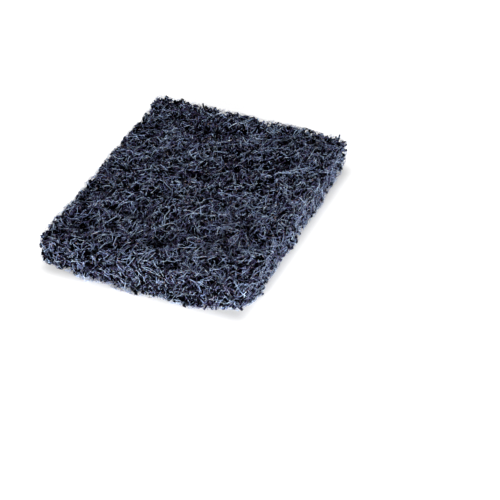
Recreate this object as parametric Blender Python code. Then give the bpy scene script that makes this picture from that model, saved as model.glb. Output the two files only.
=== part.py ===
# A thick scouring pad: one block of lofty fibre web, cut to a rectangle.
# The web is raised strands bonded where they cross, with open pits between them. Each half
# of the skin is laid out flat, filled with strands and pits, and folded over the rim.
# The halves meet round the middle of the cut sides. Metres, +Z up, origin under the centre.

import math
import random

import bmesh
import bpy
from mathutils import Vector, kdtree, noise
from mathutils.geometry import delaunay_2d_cdt

# The cut block
LENGTH = 0.127
WIDTH = 0.090
THICKNESS = 0.016
CORNER_RADIUS = 0.0036
RIM_RADIUS = 0.0020

# How far the soft block strays from a true one
SIDE_WAVE = 0.0014
SIDE_WAVE_LENGTH = 0.011
TOP_WAVE = 0.0006
TOP_WAVE_LENGTH = 0.026
CORNER_PINCH = 0.29
CORNER_PINCH_REACH = 0.024

# The strands that show at the surface, one from each cell of a loose grid
STRAND_COLUMNS = 14
STRAND_ROWS = 10
STRAND_WIDTH = 0.001
STRAND_STEP = 0.0046
FEWEST_STEPS = 1
MOST_STEPS = 4
STRAND_CURL = 0.5
STRAND_WANDER = 0.15
SIDE_PULL = 0.5
STRAND_SINK = 0.0012
END_DIVE = 0.0012
STRAND_END_GAP = 0.0012
CROSSING_MERGE = 0.0002

# The pits between the strands
PIT_COLUMNS = 36
PIT_ROWS = 27
PIT_DEPTH = 0.0045
SHALLOWEST_PIT = 0.6
PIT_CLEARANCE = 0.0011
PIT_TRIES = 8
DEEPEST_SHARE = 0.62

# The line round the middle of the sides, where the halves meet
SEAM_POINTS = 148
SEAM_SINK = 0.0028
SEAM_WANDER = 0.0020

# The matted spot under the centre that the pad rests on
REST_SPOT_RADIUS = 0.004
REST_SPOT_POINTS = 8

WEB_COLOUR = (0.045, 0.056, 0.086, 1.0)
WEB_ROUGHNESS = 0.62
SEED = 7

RIM = min(RIM_RADIUS, CORNER_RADIUS, THICKNESS / 2)
RIM_ARC = RIM * math.pi / 2
INNER_RADIUS = CORNER_RADIUS - RIM
INNER_HALF = Vector((LENGTH / 2 - RIM, WIDTH / 2 - RIM))
SKIN_REACH = RIM_ARC + THICKNESS / 2 - RIM


def clear_scene():
    for item in list(bpy.data.objects):
        bpy.data.objects.remove(item, do_unlink=True)


def smooth_step(share):
    share = max(0.0, min(1.0, share))
    return share * share * (3 - 2 * share)


def beyond_flat(place):
    # How far a place on the laid-out skin lies outside the flat of the face
    over = Vector((abs(place.x), abs(place.y))) - INNER_HALF + Vector((INNER_RADIUS,) * 2)
    outside = Vector((max(over.x, 0.0), max(over.y, 0.0))).length
    return outside + min(max(over.x, over.y), 0.0) - INNER_RADIUS


def way_out(place):
    # The direction from the flat of the face to a place outside it
    core = INNER_HALF - Vector((INNER_RADIUS,) * 2)
    held = Vector((max(-core.x, min(core.x, place.x)), max(-core.y, min(core.y, place.y))))
    return (place - held).normalized()


def stray(point, way, beyond):
    # The block's own unevenness: wavy sides, an uneven top and corners thinned from below
    out = smooth_step(beyond / RIM_ARC)
    wave = noise.noise(Vector((point.x, point.y, 0.0)) / SIDE_WAVE_LENGTH)
    point.xy += way * SIDE_WAVE * wave * out
    if point.z > 0:
        swell = noise.noise(Vector((point.x, point.y, LENGTH)) / TOP_WAVE_LENGTH)
        point.z += TOP_WAVE * swell * point.z / (THICKNESS / 2)
    corner = Vector((LENGTH / 2 - abs(point.x), WIDTH / 2 - abs(point.y)))
    pinch = CORNER_PINCH * smooth_step(1 - corner.length / CORNER_PINCH_REACH)
    point.z = THICKNESS / 2 - (THICKNESS / 2 - point.z) * (1 - pinch)


def folded(place, sink, top):
    # A place on the laid-out skin, folded over the rim and sunk along the surface normal
    beyond = beyond_flat(place)
    way = way_out(place) if beyond > 0 else Vector((0.0, 0.0))
    turn = min(max(beyond, 0.0) / RIM_ARC, 1.0) * math.pi / 2
    drop = RIM * (1 - math.cos(turn)) + max(beyond - RIM_ARC, 0.0)
    flat = place - way * max(beyond, 0.0) + way * RIM * math.sin(turn)
    side = 1 if top else -1
    point = Vector((flat.x, flat.y, side * (THICKNESS / 2 - drop)))
    stray(point, way, beyond)
    normal = Vector((way.x * math.sin(turn), way.y * math.sin(turn), side * math.cos(turn)))
    return point - normal * sink


def deepest_at(place):
    # A pit stays clear of the pits on the other side of the rim
    beyond = beyond_flat(place)
    from_rim = max(-beyond, beyond - RIM_ARC, 0.0)
    return DEEPEST_SHARE * (RIM + from_rim)


def seam_places():
    # Evenly spaced round the pad's outline, on the outer edge of the laid-out skin
    core = Vector((LENGTH / 2 - CORNER_RADIUS, WIDTH / 2 - CORNER_RADIUS))
    arc = CORNER_RADIUS * math.pi / 2
    corners = ((1, 1), (-1, 1), (-1, -1), (1, -1))
    runs = (2 * core.x, 2 * core.y, 2 * core.x, 2 * core.y)
    step = (sum(runs) + 4 * arc) / SEAM_POINTS
    places = []
    for number in range(SEAM_POINTS):
        along = number * step
        quarter = 0
        while along >= arc + runs[quarter]:
            along -= arc + runs[quarter]
            quarter += 1
        centre = Vector((corners[quarter][0] * core.x, corners[quarter][1] * core.y))
        angle = quarter * math.pi / 2 + min(along / arc, 1.0) * math.pi / 2
        way = Vector((math.cos(angle), math.sin(angle)))
        centre += Vector((-way.y, way.x)) * max(along - arc, 0.0)
        places.append(centre + way * (INNER_RADIUS + SKIN_REACH))
    return places


def walk(chance, place, heading, curl):
    # Steps along one half of a strand. On the sides it turns to run along the pad's edge
    places = []
    for _ in range(chance.randint(FEWEST_STEPS, MOST_STEPS)):
        heading += curl + chance.gauss(0, STRAND_WANDER)
        if beyond_flat(place) > RIM_ARC:
            way = way_out(place)
            along = math.atan2(way.x, -way.y)
            heading += SIDE_PULL * math.sin(2 * (along - heading))
        place = place + Vector((math.cos(heading), math.sin(heading))) * STRAND_STEP
        if beyond_flat(place) > SKIN_REACH - STRAND_END_GAP:
            break
        places.append(place)
    return places


def grid_places(chance, columns, rows):
    # A place drawn in each cell of a loose grid over the laid-out skin
    half = INNER_HALF + Vector((SKIN_REACH,) * 2)
    for column in range(columns):
        for row in range(rows):
            across = Vector((column + chance.random(), row + chance.random()))
            yield Vector((
                half.x * (2 * across.x / columns - 1),
                half.y * (2 * across.y / rows - 1),
            ))


def all_strands(chance):
    strands = []
    for middle in grid_places(chance, STRAND_COLUMNS, STRAND_ROWS):
        heading = chance.uniform(0, 2 * math.pi)
        curl = chance.uniform(-STRAND_CURL, STRAND_CURL)
        if beyond_flat(middle) < SKIN_REACH - STRAND_END_GAP:
            back = walk(chance, middle, heading + math.pi, -curl)
            ahead = walk(chance, middle, heading, curl)
            places = back[::-1] + [middle] + ahead
            if len(places) > 2 * FEWEST_STEPS:
                strands.append(places)
    return strands


def strand_outline(places):
    # The strand's two long edges on the skin, as one ring
    left, right = [], []
    for before, place, after in zip(places[:1] + places, places, places[1:] + places[-1:]):
        way = (after - before).normalized()
        aside = Vector((-way.y, way.x)) * STRAND_WIDTH / 2
        left.append(place + aside)
        right.append(place - aside)
    return left + right[::-1]


def strand_sinks(chance, count):
    # How low each point of the ring lies: one level, and a dive into the web at both ends
    level = STRAND_SINK * chance.random()
    ends = (0, count // 2 - 1, count // 2, count - 1)
    return [level + (END_DIVE if number in ends else 0.0) for number in range(count)]


def nearness(rings):
    # A search tree of places along the strands' edges
    parts = max(1, math.ceil(STRAND_STEP / PIT_CLEARANCE))
    along = [
        start.lerp(end, part / parts)
        for ring in rings
        for start, end in zip(ring, ring[1:] + ring[:1])
        for part in range(parts)
    ]
    tree = kdtree.KDTree(len(along))
    for number, place in enumerate(along):
        tree.insert(place.to_3d(), number)
    tree.balance()
    return tree


def pit_places(chance, rings, top):
    # A loose grid of pits, each the one of several tries that lies furthest from a strand
    tree = nearness(rings)
    tries = [list(grid_places(chance, PIT_COLUMNS, PIT_ROWS)) for _ in range(PIT_TRIES)]
    places = []
    for cell in zip(*tries):
        gap, place = max(
            ((tree.find(place.to_3d())[2], place) for place in cell), key=lambda pair: pair[0]
        )
        clear = top or place.length > REST_SPOT_RADIUS
        if gap > PIT_CLEARANCE and clear and beyond_flat(place) < SKIN_REACH - STRAND_END_GAP:
            places.append(place)
    return places


def rest_spot():
    turn = 2 * math.pi / REST_SPOT_POINTS
    return [
        Vector((math.cos(number * turn), math.sin(number * turn))) * REST_SPOT_RADIUS
        for number in range(REST_SPOT_POINTS)
    ]


def add_half(bm, chance, seam, seam_verts, top):
    # A net of triangles with the strands raised in it and the pits sunk
    rings = [strand_outline(places) for places in all_strands(chance)]
    places, sinks, edges = [], [], []
    for ring in [seam] + rings + ([] if top else [rest_spot()]):
        edges += [
            (len(places) + number, len(places) + (number + 1) % len(ring))
            for number in range(len(ring))
        ]
        places += ring
        sinks += strand_sinks(chance, len(ring)) if ring in rings else [0.0] * len(ring)
    for place in pit_places(chance, rings, top):
        places.append(place)
        sinks.append(PIT_DEPTH * chance.uniform(SHALLOWEST_PIT, 1))
    net = delaunay_2d_cdt(places, edges, [], 1, CROSSING_MERGE)
    verts = []
    for place, sources in zip(net[0], net[3]):
        if sources and min(sources) < len(seam):
            verts.append(seam_verts[min(sources)])
            continue
        in_spot = not top and place.length < REST_SPOT_RADIUS + CROSSING_MERGE
        level = 0.0 if in_spot or not sources else min(sinks[source] for source in sources)
        verts.append(bm.verts.new(folded(place, min(level, deepest_at(place)), top)))
    for corners in net[2]:
        face = [verts[corner] for corner in corners]
        bm.faces.new(face if top else reversed(face))


def fibre_web():
    chance = random.Random(SEED)
    bm = bmesh.new()
    seam = seam_places()
    seam_verts = []
    for place in seam:
        point = folded(place, chance.uniform(0, SEAM_SINK), True)
        point.z += chance.uniform(-SEAM_WANDER, SEAM_WANDER) / 2
        seam_verts.append(bm.verts.new(point))
    add_half(bm, chance, seam, seam_verts, True)
    add_half(bm, chance, seam, seam_verts, False)
    bmesh.ops.translate(bm, verts=bm.verts, vec=(0.0, 0.0, THICKNESS / 2))
    mesh = bpy.data.meshes.new("scouring_pad")
    bm.to_mesh(mesh)
    bm.free()
    return mesh


def web_material():
    material = bpy.data.materials.new("fibre_web")
    material.use_nodes = True
    shader = material.node_tree.nodes["Principled BSDF"]
    shader.inputs["Base Color"].default_value = WEB_COLOUR
    shader.inputs["Roughness"].default_value = WEB_ROUGHNESS
    shader.inputs["Metallic"].default_value = 0.0
    return material


clear_scene()
pad_collection = bpy.data.collections.new("scouring_pad")
bpy.context.scene.collection.children.link(pad_collection)
pad = bpy.data.objects.new("scouring_pad", fibre_web())
pad.data.materials.append(web_material())
pad_collection.objects.link(pad)
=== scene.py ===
import math

import bmesh
import bpy
from mathutils import Matrix, Vector, noise
from mathutils.bvhtree import BVHTree


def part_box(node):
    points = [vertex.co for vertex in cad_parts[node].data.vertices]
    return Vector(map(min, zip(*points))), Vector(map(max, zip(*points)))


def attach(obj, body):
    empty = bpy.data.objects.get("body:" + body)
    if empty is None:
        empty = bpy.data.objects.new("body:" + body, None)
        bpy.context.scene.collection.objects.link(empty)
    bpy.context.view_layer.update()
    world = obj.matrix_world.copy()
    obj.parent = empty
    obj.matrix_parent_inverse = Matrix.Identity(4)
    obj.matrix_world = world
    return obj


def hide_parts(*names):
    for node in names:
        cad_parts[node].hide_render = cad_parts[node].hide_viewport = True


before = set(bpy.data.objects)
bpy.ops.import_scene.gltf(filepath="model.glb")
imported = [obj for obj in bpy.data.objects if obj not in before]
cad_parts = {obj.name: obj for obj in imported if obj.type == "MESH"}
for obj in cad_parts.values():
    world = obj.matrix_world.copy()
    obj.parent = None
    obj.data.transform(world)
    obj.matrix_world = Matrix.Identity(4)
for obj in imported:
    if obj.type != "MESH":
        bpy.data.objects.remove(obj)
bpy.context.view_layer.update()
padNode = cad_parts["scouring_pad"]
padLow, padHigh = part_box("scouring_pad")
padSize = padHigh - padLow
padCentre = (padLow + padHigh) / 2
tiny = 1e-6   # two points nearer than this are one
white = (1, 1, 1, 1)
print("frame loaded, pad", [round(side * 1000, 1) for side in padSize], "mm")


# Node tree helpers

def fill(tree, node, inputs):
    # Each input is set to its value, or linked where that is a socket
    for key, value in inputs.items():
        if isinstance(value, bpy.types.NodeSocket):
            tree.links.new(value, node.inputs[key])
        else:
            node.inputs[key].default_value = value


def put(tree, kind, inputs=None, **settings):
    # A new node with its settings and inputs
    node = tree.nodes.new(kind)
    for name, value in settings.items():
        setattr(node, name, value)
    fill(tree, node, inputs or {})
    return node


def calc(tree, operation, *values):
    return put(tree, "ShaderNodeMath", dict(enumerate(values)), operation=operation).outputs[0]


def vectorCalc(tree, operation, *values, output=0):
    node = put(tree, "ShaderNodeVectorMath", dict(enumerate(values)), operation=operation)
    return node.outputs[output]


def vectorOf(tree, x, y, z):
    return put(tree, "ShaderNodeCombineXYZ", {0: x, 1: y, 2: z}).outputs[0]


def scaled(tree, vector, factor):
    return put(tree, "ShaderNodeVectorMath", {0: vector, "Scale": factor}, operation="SCALE").outputs[0]


def lengthOf(tree, vector):
    return vectorCalc(tree, "LENGTH", vector, output=1)


def mapped(tree, value, start, end, low=0.0, high=1.0, **settings):
    # What runs from start to end comes out as low to high, and stays there beyond
    return put(tree, "ShaderNodeMapRange", {
        "Value": value, "From Min": start, "From Max": end, "To Min": low, "To Max": high,
    }, **settings).outputs[0]


def newMaterial(name):
    material = bpy.data.materials.new(name)
    material.use_nodes = True
    return material, material.node_tree, material.node_tree.nodes["Principled BSDF"]


# The camera, which looks at a point on the plane of the top face

view = {
    "azimuth": -70.34,   # degrees, 0 looks along +Y
    "elevation": 34.46,
    "roll": -2.66,
    "distance": 1.013,
    "aim": (-0.0361, -0.0369),
    "lens": 180.0,
    "nearest": 0.05,     # nothing closer than this is drawn
}


def addCamera():
    turn, lift = math.radians(view["azimuth"]), math.radians(view["elevation"])
    away = Vector((math.sin(turn), -math.cos(turn), 0)) * math.cos(lift)
    away.z = math.sin(lift)
    data = bpy.data.cameras.new("camera")
    data.lens = view["lens"]
    data.clip_start = view["nearest"]
    camera = bpy.data.objects.new("camera", data)
    camera.location = Vector((*view["aim"], padHigh.z)) + away * view["distance"]
    facing = away.to_track_quat("Z", "Y").to_matrix().to_4x4()
    rolled = Matrix.Rotation(math.radians(-view["roll"]), 4, "Z")
    camera.rotation_euler = (facing @ rolled).to_euler()
    bpy.context.scene.collection.objects.link(camera)
    bpy.context.scene.camera = camera
    print("camera placed")


# Lamps, the world and the floor

lamps = {
    "key": {"at": (-0.52, -0.72, 0.145), "size": 0.26, "watts": 16.2},
    "left": {"at": (-0.80, 0.08, 0.14), "size": 0.28, "watts": 9.8},
}
surround = {
    "strength": 0.09,
    "floorSize": 4.0,
    "floorColour": (0.92, 0.92, 0.92),
    "floorRoughness": 0.9,
    "floorGlow": 0.9,
    "shadowFrom": 0.006,    # the floor starts to glow this far inside the pad's edge
    "shadowReach": 0.014,   # and glows in full this far on, where no shadow shows any more
}


def addLamps():
    for name, values in lamps.items():
        data = bpy.data.lights.new(name, "AREA")
        data.energy = values["watts"]
        data.size = values["size"]
        lamp = bpy.data.objects.new(name, data)
        lamp.location = values["at"]
        lamp.rotation_euler = (Vector(values["at"]) - padCentre).to_track_quat("Z", "Y").to_euler()
        bpy.context.scene.collection.objects.link(lamp)
    print(len(lamps), "lamps placed")


def addWorld():
    # What the camera sees directly is plain white, and the light on the pad stays as it is
    world = bpy.data.worlds.new("studio")
    world.use_nodes = True
    tree = world.node_tree
    plain = tree.nodes["Background"]
    fill(tree, plain, {"Color": white, "Strength": surround["strength"]})
    path = put(tree, "ShaderNodeLightPath").outputs
    seen = calc(tree, "MAXIMUM", path["Is Camera Ray"], path["Is Glossy Ray"])
    bright = put(tree, "ShaderNodeBackground", {"Color": white, "Strength": 1.0}).outputs[0]
    mix = put(tree, "ShaderNodeMixShader", {0: seen, 1: plain.outputs[0], 2: bright}).outputs[0]
    fill(tree, tree.nodes["World Output"], {"Surface": mix})
    bpy.context.scene.world = world


def floorGlow(tree):
    # Away from the pad the camera sees the floor white, and its shadow stays
    place = put(tree, "ShaderNodeTexCoord").outputs["Object"]
    core = tuple(side / 2 - surround["shadowFrom"] for side in padSize)
    beyond = vectorCalc(tree, "SUBTRACT", vectorCalc(tree, "ABSOLUTE", place), core)
    away = lengthOf(tree, vectorCalc(tree, "MAXIMUM", beyond, (0, 0, 0)))
    glow = mapped(tree, away, 0.0, surround["shadowReach"], 0.0, surround["floorGlow"],
                  interpolation_type="SMOOTHSTEP")
    return calc(tree, "MULTIPLY", put(tree, "ShaderNodeLightPath").outputs["Is Camera Ray"], glow)


def addFloor():
    bpy.ops.mesh.primitive_plane_add(size=surround["floorSize"])
    floor = bpy.context.object
    floor.name = "floor"
    paint, tree, shader = newMaterial("floor_white")
    fill(tree, shader, {
        "Base Color": (*surround["floorColour"], 1),
        "Roughness": surround["floorRoughness"],
        "Emission Color": white,
        "Emission Strength": floorGlow(tree),
    })
    floor.data.materials.append(paint)
    print("world and floor placed")


# The envelope: the pad's outer form without its pits, which the fibres are cut to

envelope = {
    "cell": 0.0022,
    "rim": 0.0022,
    "corner": 0.0040,
    "pinch": 0.29,        # share of the thickness that a corner lacks
    "pinchReach": 0.024,
    "reach": 0.006,       # how far off the solid is looked for
    "widen": 1,           # steps over which the highest strand counts
    "smooth": 2,
    "outset": 0.0008,
    "lumps": 0.0007,      # how far the faces' small lumps stand out or in
    "lumpSize": 0.0040,
    "floorGap": 0.0002,
}


def clamp(value, limit):
    return max(-limit, min(limit, value))


def roundedBox(half, cell, rim, corner):
    bm = bmesh.new()
    bmesh.ops.create_cube(bm, size=2.0)
    for axis in range(3):
        along = [
            edge for edge in bm.edges
            if abs((edge.verts[0].co - edge.verts[1].co)[axis]) > tiny
        ]
        cuts = round(2 * half[axis] / cell)
        bmesh.ops.subdivide_edges(bm, edges=along, cuts=cuts, use_grid_fill=True)
    for vert in bm.verts:   # the upright corners
        flat = Vector((vert.co.x * half.x, vert.co.y * half.y))
        core = Vector((clamp(flat.x, half.x - corner), clamp(flat.y, half.y - corner)))
        if (flat - core).length > corner:
            flat = core + (flat - core).normalized() * corner
        vert.co = (flat.x, flat.y, vert.co.z * half.z)
    ring = corner - rim
    for vert in bm.verts:   # the rims of both faces
        place = vert.co.copy()
        core = Vector((clamp(place.x, half.x - corner), clamp(place.y, half.y - corner), 0))
        out = Vector((place.x, place.y, 0)) - core
        held = core + (out if out.length < ring else out.normalized() * ring)
        held.z = clamp(place.z, half.z - rim)
        if (place - held).length > rim:
            vert.co = held + (place - held).normalized() * rim
    return bm


def thinCorners(bm, half):
    # The pad is thinner at its corners, from below, with a soft start
    for vert in bm.verts:
        away = Vector((half.x - abs(vert.co.x), half.y - abs(vert.co.y))).length
        share = max(0.0, 1 - away / envelope["pinchReach"])
        pinch = envelope["pinch"] * share * share * (3 - 2 * share)
        vert.co.z = half.z - (half.z - vert.co.z) * (1 - pinch)


def padSurface():
    # The CAD solid as a tree that rays can be cast at
    solid = bmesh.new()
    solid.from_mesh(padNode.data)
    bmesh.ops.remove_doubles(solid, verts=solid.verts, dist=tiny)
    surface = BVHTree.FromBMesh(solid)
    solid.free()
    return surface


def beside(vert):
    return [edge.other_vert(vert) for edge in vert.link_edges]


def addEnvelope():
    # A rounded box that lies against the highest strands of the CAD solid
    bm = roundedBox(padSize / 2, envelope["cell"], envelope["rim"], envelope["corner"])
    thinCorners(bm, padSize / 2)
    bmesh.ops.recalc_face_normals(bm, faces=bm.faces)
    bmesh.ops.translate(bm, verts=bm.verts, vec=padCentre)
    bm.normal_update()
    surface = padSurface()
    reach = envelope["reach"]
    outward = {}
    for vert in bm.verts:
        hit = surface.ray_cast(vert.co + vert.normal * reach, -vert.normal, 2 * reach)
        outward[vert] = reach - hit[3] if hit[3] is not None else -reach
    for _ in range(envelope["widen"]):
        outward = {
            vert: max([outward[vert]] + [outward[near] for near in beside(vert)])
            for vert in bm.verts
        }
    for _ in range(envelope["smooth"]):
        outward = {
            vert: (outward[vert] + sum(outward[near] for near in beside(vert)))
            / (1 + len(vert.link_edges))
            for vert in bm.verts
        }
    for vert in bm.verts:
        lump = envelope["lumps"] * noise.noise(vert.co / envelope["lumpSize"])
        vert.co += vert.normal * (outward[vert] + envelope["outset"] + lump)
        vert.co.z = max(vert.co.z, padLow.z + envelope["floorGap"])
    mesh = bpy.data.meshes.new("envelope")
    bm.to_mesh(mesh)
    bm.free()
    print("envelope", len(mesh.vertices), "points")
    return mesh


# The fibre web's node tree. Lengths in metres, angles in radians

fibreInputs = (
    ("Fibres", "NodeSocketInt"),
    ("Low", "NodeSocketVector"),
    ("High", "NodeSocketVector"),
    ("Grain", "NodeSocketFloat"),
    ("Points Along", "NodeSocketInt"),
    ("Sweep", "NodeSocketFloat"),
    ("Tightest Curl", "NodeSocketFloat"),
    ("Widest Curl", "NodeSocketFloat"),
    ("Lean", "NodeSocketFloat"),
    ("Sway", "NodeSocketFloat"),
    ("Sway Waves", "NodeSocketFloat"),
    ("Solid", "NodeSocketObject"),
    ("Drape", "NodeSocketFloat"),
    ("Pit Spacing", "NodeSocketFloat"),
    ("Pit Radius", "NodeSocketFloat"),
    ("Floor", "NodeSocketFloat"),
    ("Press", "NodeSocketFloat"),
    ("Press Reach", "NodeSocketFloat"),
    ("Press Share", "NodeSocketFloat"),
    ("Fray", "NodeSocketFloat"),
    ("Shallowest", "NodeSocketFloat"),
    ("Deepest", "NodeSocketFloat"),
    ("Shortest", "NodeSocketFloat"),
    ("Thickness", "NodeSocketFloat"),
    ("Dim", "NodeSocketFloat"),
    ("Material", "NodeSocketMaterial"),
    ("Seed", "NodeSocketInt"),
)
habits = {
    "swayApart": 500.0,    # sets each fibre's bends apart from its neighbours'
    "swayDetail": 1.0,     # shorter bends on the long ones
    "swayRoughness": 0.4,
    "pitLeast": 0.5,       # the smallest pit's share of Pit Radius, the largest has 1 more
    "pitCore": 0.05,       # share of a pit in which fibres are all pushed alike
    "pitPush": -0.6,
    "frayDraw": 53.0,      # draw a second and a third number from a fibre's own
    "girthDraw": 91.0,
    "girthPower": 2.0,
    "girthLeast": 0.7,     # the thinnest fibre's share of Thickness, the thickest has 1 more
}


def placeOf(tree):
    return put(tree, "GeometryNodeInputPosition").outputs[0]


def toneOf(tree):
    # Each fibre's own number from 0 to 1
    return put(tree, "GeometryNodeInputNamedAttribute", {"Name": "tone"}, data_type="FLOAT").outputs[0]


def drawnFrom(tree, stretch):
    # Another number from 0 to 1 for each fibre
    return calc(tree, "FRACT", calc(tree, "MULTIPLY", toneOf(tree), stretch))


def chance(tree, given, step, low, high, kind="FLOAT"):
    # The node has its own sockets for each kind, by number
    number, output = {"FLOAT": (2, 1), "FLOAT_VECTOR": (0, 0)}[kind]
    seed = calc(tree, "ADD", given["Seed"], float(step))
    inputs = {number: low, number + 1: high, "Seed": seed}
    return put(tree, "FunctionNodeRandomValue", inputs, data_type=kind).outputs[output]


def nearestOn(tree, shape):
    # The nearest point of a surface, its normal, and the signed depth below it
    place = placeOf(tree)
    near = put(tree, "GeometryNodeProximity", {0: shape}, target_element="FACES")
    normal = put(tree, "GeometryNodeSampleNearestSurface", {
        0: shape, "Value": put(tree, "GeometryNodeInputNormal").outputs[0], "Sample Position": place,
    }, data_type="FLOAT_VECTOR").outputs["Value"]
    away = vectorCalc(tree, "SUBTRACT", place, near.outputs["Position"])
    side = calc(tree, "SIGN", vectorCalc(tree, "DOT_PRODUCT", away, normal, output=1))
    depth = calc(tree, "MULTIPLY", side, calc(tree, "MULTIPLY", near.outputs["Distance"], -1.0))
    return {"point": near.outputs["Position"], "normal": normal, "depth": depth}


def moved(tree, curves, inputs):
    return put(tree, "GeometryNodeSetPosition", {"Geometry": curves, **inputs}).outputs[0]


def layFibres(tree, given):
    # Arcs scattered in a slab at every turn, each with a number of its own, drawn out along the pad
    grain = vectorOf(tree, given["Grain"], 1.0, 1.0)
    scattered = chance(tree, given, 1, given["Low"], given["High"], "FLOAT_VECTOR")
    places = put(tree, "GeometryNodePoints", {
        "Count": given["Fibres"], "Position": vectorCalc(tree, "DIVIDE", scattered, grain),
    }).outputs[0]
    arc = put(tree, "GeometryNodeCurveArc", {
        "Resolution": given["Points Along"],
        "Radius": 1.0,
        "Start Angle": calc(tree, "MULTIPLY", given["Sweep"], -0.5),
        "Sweep Angle": given["Sweep"],
    }, mode="RADIUS").outputs[0]
    arc = put(tree, "GeometryNodeTransform", {"Geometry": arc, "Translation": (-1.0, 0.0, 0.0)}).outputs[0]
    back = calc(tree, "MULTIPLY", given["Lean"], -1.0)
    lowTurn = vectorOf(tree, back, back, 0.0)
    highTurn = vectorOf(tree, given["Lean"], given["Lean"], 2 * math.pi)
    laid = put(tree, "GeometryNodeInstanceOnPoints", {
        "Points": places,
        "Instance": arc,
        "Rotation": chance(tree, given, 2, lowTurn, highTurn, "FLOAT_VECTOR"),
        "Scale": chance(tree, given, 3, given["Tightest Curl"], given["Widest Curl"]),
    }).outputs[0]
    toned = put(tree, "GeometryNodeStoreNamedAttribute", {
        "Geometry": laid, "Name": "tone", "Value": chance(tree, given, 4, 0.0, 1.0),
    }, data_type="FLOAT", domain="INSTANCE").outputs[0]
    real = put(tree, "GeometryNodeRealizeInstances", {0: toned}).outputs[0]
    return put(tree, "GeometryNodeTransform", {"Geometry": real, "Scale": grain}).outputs[0]


def swayFibres(tree, given, curves):
    # Long bends with shorter ones on them, different in each fibre
    bends = put(tree, "ShaderNodeTexNoise", {
        "Vector": placeOf(tree),
        "W": calc(tree, "MULTIPLY", toneOf(tree), habits["swayApart"]),
        "Scale": given["Sway Waves"],
        "Detail": habits["swayDetail"],
        "Roughness": habits["swayRoughness"],
    }, noise_dimensions="4D").outputs["Color"]
    centred = vectorCalc(tree, "SUBTRACT", bends, (0.5, 0.5, 0.5))
    return moved(tree, curves, {"Offset": scaled(tree, centred, given["Sway"])})


def drapeFibres(tree, given, curves):
    # Fibres above the solid's pits sink a little way towards their walls
    solid = put(tree, "GeometryNodeObjectInfo", {"Object": given["Solid"]}).outputs["Geometry"]
    near = nearestOn(tree, solid)
    toWall = vectorCalc(tree, "SUBTRACT", near["point"], placeOf(tree))
    return moved(tree, curves, {
        "Selection": calc(tree, "LESS_THAN", near["depth"], 0.0),
        "Offset": scaled(tree, toWall, given["Drape"]),
    })


def openPits(tree, given, curves):
    # Fibres bend out round the web's open pits
    place = placeOf(tree)
    cells = put(tree, "ShaderNodeTexVoronoi", {
        "Vector": place, "Scale": calc(tree, "DIVIDE", 1.0, given["Pit Spacing"]),
    }).outputs
    away = vectorCalc(tree, "SUBTRACT", place, cells["Position"])
    size = put(tree, "ShaderNodeSeparateXYZ", {0: cells["Color"]}).outputs[0]
    radius = calc(tree, "MULTIPLY", given["Pit Radius"], calc(tree, "ADD", size, habits["pitLeast"]))
    share = calc(tree, "DIVIDE", lengthOf(tree, away), radius)
    share = calc(tree, "MINIMUM", calc(tree, "MAXIMUM", share, habits["pitCore"]), 1.0)
    push = calc(tree, "POWER", share, habits["pitPush"])
    return moved(tree, curves, {
        "Position": vectorCalc(tree, "ADD", cells["Position"], scaled(tree, away, push)),
    })


def pressFaces(tree, given, curves):
    # Loops that stand out of the block's faces are pressed part of the way back
    near = nearestOn(tree, given["Envelope"])
    over = calc(tree, "MAXIMUM", calc(tree, "SUBTRACT", given["Press"], near["depth"]), 0.0)
    back = calc(tree, "MULTIPLY", over, given["Press Share"])
    return moved(tree, curves, {
        "Selection": calc(tree, "LESS_THAN", over, given["Press Reach"]),
        "Offset": scaled(tree, near["normal"], calc(tree, "MULTIPLY", back, -1.0)),
    })


def cutToBlock(tree, given, curves):
    # What lies outside is cut off, with ends of uneven length, and what is too deep is left out
    wires = put(tree, "GeometryNodeCurveToMesh", {"Curve": curves}).outputs[0]
    depth = nearestOn(tree, given["Envelope"])["depth"]
    fray = calc(tree, "MULTIPLY", drawnFrom(tree, habits["frayDraw"]), given["Fray"])
    outside = calc(tree, "LESS_THAN", calc(tree, "ADD", depth, fray), given["Shallowest"])
    tooDeep = calc(tree, "GREATER_THAN", depth, given["Deepest"])
    kept = put(tree, "GeometryNodeDeleteGeometry", {
        "Geometry": wires, "Selection": calc(tree, "MAXIMUM", outside, tooDeep),
    }, domain="EDGE", mode="EDGE_FACE").outputs[0]
    runs = put(tree, "GeometryNodeMeshToCurve", {0: kept}).outputs[0]
    runLength = put(tree, "GeometryNodeSplineLength").outputs[0]
    runs = put(tree, "GeometryNodeDeleteGeometry", {
        "Geometry": runs, "Selection": calc(tree, "LESS_THAN", runLength, given["Shortest"]),
    }, domain="CURVE").outputs[0]
    # The depth, with Dim added, that the fibres' painted shade goes by
    return put(tree, "GeometryNodeStoreNamedAttribute", {
        "Geometry": runs, "Name": "depth", "Value": calc(tree, "ADD", depth, given["Dim"]),
    }, data_type="FLOAT", domain="POINT").outputs[0]


def layOnFloor(tree, given, curves):
    # No fibre runs below the floor. The -1 is far below any place on the pad
    lowest = vectorOf(tree, -1.0, -1.0, given["Floor"])
    return moved(tree, curves, {"Position": vectorCalc(tree, "MAXIMUM", placeOf(tree), lowest)})


def thickenFibres(tree, given, curves):
    # Three-sided tubes, some more than twice as thick as others
    uneven = calc(tree, "POWER", drawnFrom(tree, habits["girthDraw"]), habits["girthPower"])
    girth = calc(tree, "ADD", uneven, habits["girthLeast"])
    section = put(tree, "GeometryNodeCurvePrimitiveCircle", {"Resolution": 3, "Radius": 1.0}).outputs[0]
    tubes = put(tree, "GeometryNodeCurveToMesh", {
        "Curve": curves,
        "Profile Curve": section,
        "Scale": calc(tree, "MULTIPLY", calc(tree, "MULTIPLY", given["Thickness"], 0.5), girth),
        "Fill Caps": True,
    }).outputs[0]
    return put(tree, "GeometryNodeSetShadeSmooth", {0: tubes, "Shade Smooth": True}).outputs[0]


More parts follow.
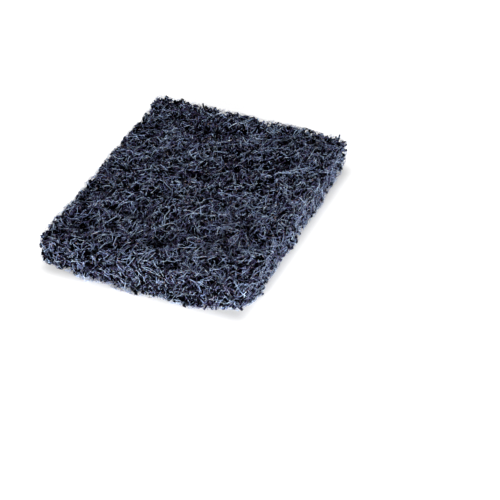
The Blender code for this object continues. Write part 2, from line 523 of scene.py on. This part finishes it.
def fibreTree():
    tree = bpy.data.node_groups.new("fibreWeb", "GeometryNodeTree")
    face = tree.interface
    face.new_socket("Geometry", in_out="OUTPUT", socket_type="NodeSocketGeometry")
    face.new_socket("Envelope", in_out="INPUT", socket_type="NodeSocketGeometry")
    for name, kind in fibreInputs:
        face.new_socket(name, in_out="INPUT", socket_type=kind)
    given = tree.nodes.new("NodeGroupInput").outputs
    web = layFibres(tree, given)
    stages = (swayFibres, drapeFibres, openPits, pressFaces, cutToBlock, layOnFloor, thickenFibres)
    for stage in stages:
        web = stage(tree, given, web)
    real = put(tree, "GeometryNodeRealizeInstances", {0: web}).outputs[0]
    done = put(tree, "GeometryNodeSetMaterial", {"Geometry": real, "Material": given["Material"]})
    tree.links.new(done.outputs[0], tree.nodes.new("NodeGroupOutput").inputs[0])
    return tree


def ridePly(name, tree, shape, values):
    # One ply of the web as a plain mesh
    holder = bpy.data.objects.new(name + "_guide", shape)
    bpy.context.scene.collection.objects.link(holder)
    modifier = holder.modifiers.new("web", "NODES")
    modifier.node_group = tree
    inputs = [item for item in tree.interface.items_tree if item.in_out == "INPUT"]
    sockets = {item.name: item.identifier for item in inputs}
    for key, value in values.items():
        modifier[sockets[key]] = value
    bpy.context.view_layer.update()
    seen = holder.evaluated_get(bpy.context.evaluated_depsgraph_get())
    mesh = bpy.data.meshes.new_from_object(seen)
    bpy.data.objects.remove(holder)
    mesh.name = name
    piece = bpy.data.objects.new(name, mesh)
    bpy.context.scene.collection.objects.link(piece)
    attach(piece, "root")
    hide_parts("scouring_pad")
    mesh.calc_loop_triangles()
    print(name, len(mesh.loop_triangles), "triangles")
    return len(mesh.loop_triangles)


# The fibres' finish

finish = {
    # Dark navy to pale steel blue. Fibres differ in tone at random, and the pale end is painted highlight
    # for the fibres' glossy highlights
    "colours": (
        (0.00, (0.020, 0.014, 0.036)),
        (0.40, (0.048, 0.035, 0.090)),
        (0.52, (0.162, 0.180, 0.392)),
        (0.68, (0.325, 0.475, 0.740)),
        (1.00, (0.755, 0.880, 0.965)),
    ),
    "toneShare": 0.62,      # how much a fibre's own number lightens it
    "grainShare": 0.4,      # how much its colour changes along it
    "darken": 0.05,
    "grainWaves": 900.0,    # a metre
    "grainDetail": 2.0,
    # pale specks: abrasive grains on the fibres, drawn as painted glints
    "gritAndGlintWaves": 2500.0,
    "gritAndGlintFrom": 0.50,
    "gritAndGlintTo": 0.72,
    "gritAndGlintLight": 0.30,
    "warmColour": (0.50, 0.38, 0.34),
    "warmWaves": 1700.0,
    "warmFrom": 0.68,
    "warmTo": 0.76,
    "surfaceAt": 0.0003,    # painted shade: the colour is full down to this depth
    "deepAt": 0.0027,       # and none from here on
    "falloff": 2.8,
    "deepShade": 0.002,
    "gloss": 0.045,
    "smoothFrom": 0.3,
    "roughFrom": 0.7,
    "smoothest": 0.32,
    "roughest": 0.62,
}


def speckle(tree, place, waves, detail=0.0):
    inputs = {"Vector": place, "Scale": waves, "Detail": detail}
    return put(tree, "ShaderNodeTexNoise", inputs).outputs["Fac"]


def fibreColour(tree, place, tone, grain):
    # Dark to light by the fibre's number and along it, with pale specks and a few warm specks. The pale
    # end is painted highlight, and the pale specks are abrasive grains drawn as painted glints
    # Pale specks: abrasive grains on the fibres, drawn as painted glints
    gritAndGlint = mapped(tree, speckle(tree, place, finish["gritAndGlintWaves"]),
                  finish["gritAndGlintFrom"], finish["gritAndGlintTo"], 0.0, finish["gritAndGlintLight"])
    mixed = calc(tree, "ADD", calc(tree, "MULTIPLY", tone, finish["toneShare"]),
                 calc(tree, "MULTIPLY", grain, finish["grainShare"]))
    mixed = calc(tree, "ADD", calc(tree, "SUBTRACT", mixed, finish["darken"]), gritAndGlint)
    ramp = put(tree, "ShaderNodeValToRGB", {"Fac": mixed})
    stops = ramp.color_ramp.elements
    while len(stops) < len(finish["colours"]):
        stops.new(0.5)
    for stop, (position, colour) in zip(stops, finish["colours"]):
        stop.position = position
        stop.color = (*colour, 1)
    warm = mapped(tree, speckle(tree, place, finish["warmWaves"]), finish["warmFrom"], finish["warmTo"])
    return put(tree, "ShaderNodeMix", {
        0: warm, 6: ramp.outputs[0], 7: (*finish["warmColour"], 1),
    }, data_type="RGBA").outputs[2]


def fibreMaterial():
    material, tree, shader = newMaterial("fibre_web")
    tone = put(tree, "ShaderNodeAttribute", attribute_name="tone").outputs["Fac"]
    depth = put(tree, "ShaderNodeAttribute", attribute_name="depth").outputs["Fac"]
    place = put(tree, "ShaderNodeTexCoord").outputs["Object"]
    grain = speckle(tree, place, finish["grainWaves"], finish["grainDetail"])
    # Painted shade: the colour and the gloss fade with depth below the envelope, for the shade deep in the
    # web
    light = mapped(tree, depth, finish["surfaceAt"], finish["deepAt"], 1.0, 0.0)
    shade = calc(tree, "ADD", calc(tree, "POWER", light, finish["falloff"]), finish["deepShade"])
    fill(tree, shader, {
        "Base Color": scaled(tree, fibreColour(tree, place, tone, grain), shade),
        "Roughness": mapped(tree, grain, finish["smoothFrom"], finish["roughFrom"],
                            finish["smoothest"], finish["roughest"]),
        "Specular IOR Level": calc(tree, "MULTIPLY", light, finish["gloss"]),
    })
    return material


# The plies, from the top face down. A share of 0 is the underside and 1 the top face

spread = 0.003   # how far beyond the block fibres are laid, before the cut
fibre = {
    "Points Along": 10,
    "Sweep": math.radians(135),
    "Tightest Curl": 0.0022,
    "Widest Curl": 0.0075,
    "Lean": math.radians(80),
    "Grain": 1.35,          # fibres are drawn out this much along the pad
    "Sway": 0.0040,
    "Sway Waves": 90.0,     # a metre
    "Drape": 0.15,          # share of the way to a pit's wall
    "Pit Spacing": 0.0055,
    "Pit Radius": 0.0015,
    "Press": 0.0002,        # depth below the envelope that loops are pressed to
    "Press Reach": 0.0014,
    "Press Share": 0.30,
    "Fray": 0.0004,         # cut ends stand out by up to this
    "Shallowest": 0.0,      # depths between which fibres are kept
    "Deepest": 0.0024,
    "Shortest": 0.0014,
    "Thickness": 0.00012,
    "Dim": 0.0,
}
innerFibre = {
    "Points Along": 5,
    "Shallowest": 0.00115,
    "Deepest": 0.0036,
    "Thickness": 0.00125,   # coarse, so that a few close the view into the pad
    "Dim": 0.0022,          # adds to the depth that the painted shade goes by, so these fibres are painted near black
}
plies = {
    "top_ply": {"share": (0.94, 1.12), "Fibres": 6000, "Seed": 11},
    "second_ply": {"share": (0.76, 0.94), "Fibres": 6000, "Seed": 19},
    "band_ply": {"share": (0.24, 0.76), "Fibres": 17000, "Seed": 23},
    "fourth_ply": {"share": (0.06, 0.24), "Fibres": 5900, "Seed": 31},
    "under_ply": {"share": (-0.12, 0.06), "Fibres": 5700, "Seed": 37},
    "inner_ply": {"share": (0.0, 1.0), "Fibres": 22000, "Seed": 41, **innerFibre},
}


def addPlies():
    tree, shape, material = fibreTree(), addEnvelope(), fibreMaterial()
    total = 0
    for name, ply in plies.items():
        values = {**fibre, **ply, "Solid": padNode, "Material": material}
        under, over = values.pop("share")
        values["Floor"] = padLow.z + values["Thickness"]
        values["Low"] = (padLow.x - spread, padLow.y - spread, padLow.z + under * padSize.z)
        values["High"] = (padHigh.x + spread, padHigh.y + spread, padLow.z + over * padSize.z)
        total += ridePly(name, tree, shape, values)
    print("all plies", total, "triangles")


addCamera()
addLamps()
addWorld()
addFloor()
addPlies()
bpy.context.scene.view_settings.view_transform = "Standard"
